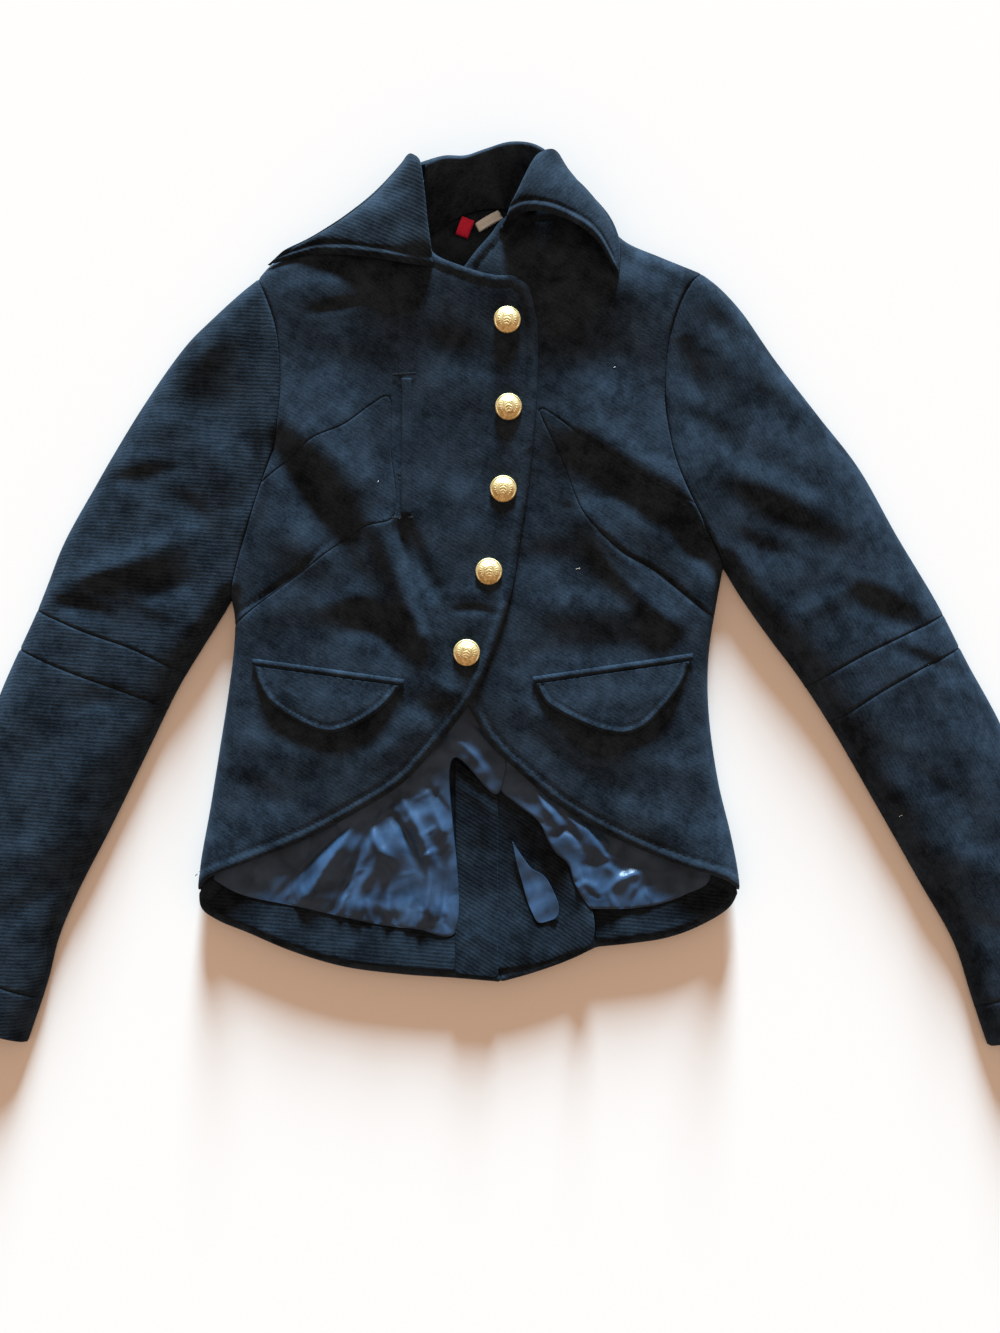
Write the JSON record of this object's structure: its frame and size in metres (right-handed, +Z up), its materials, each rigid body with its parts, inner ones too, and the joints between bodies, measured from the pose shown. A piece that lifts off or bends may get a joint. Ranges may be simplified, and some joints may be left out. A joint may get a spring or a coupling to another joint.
{
  "type": "military blazer",
  "caption": "Fitted military-style wool blazer laid flat and buttoned, with a pointed collar, hip flaps and a cutaway front.",
  "frame": {"origin": "centre of the jacket's bounding box on the surface it lies on", "axes": "+X to the wearer's left, +Y from hem to collar, +Z up from the surface"},
  "size_m": [0.899, 0.6961, 0.0415],
  "materials": {
    "wool": "navy wool twill with a soft nap",
    "lining": "blue satin",
    "buttons": "pale brushed gold",
    "loop_tape": "red tape",
    "label_tape": "plain cream tape"
  },
  "bodies": {
    "root": {"front_right": "wool", "front_left": "wool", "bust_panel_right": "wool", "bust_panel_left": "wool", "back_right": "wool", "back_left": "wool", "sleeve_upper_right": "wool", "elbow_band_right": "wool", "forearm_right": "wool", "cuff_right": "wool", "under_sleeve_right": "wool", "sleeve_upper_left": "wool", "elbow_band_left": "wool", "forearm_left": "wool", "cuff_left": "wool", "under_sleeve_left": "wool", "hem_facing_right": "wool", "hem_facing_left": "wool", "vent_underlap": "wool", "vent_facing": "wool", "neck_facing": "wool", "lining_right": "lining", "lining_left": "lining", "hip_flap_right": "wool", "hip_flap_left": "wool", "hip_welt_right": "wool", "hip_welt_left": "wool", "chest_welt": "wool", "chest_welt_top_tack": "wool", "chest_welt_bottom_tack": "wool", "button_1": "buttons", "button_2": "buttons", "button_3": "buttons", "button_4": "buttons", "button_5": "buttons", "collar_back": "wool", "collar_right": "wool", "collar_left": "wool", "hanging_loop": "loop_tape", "neck_label": "label_tape"}
  },
  "joints": []
}
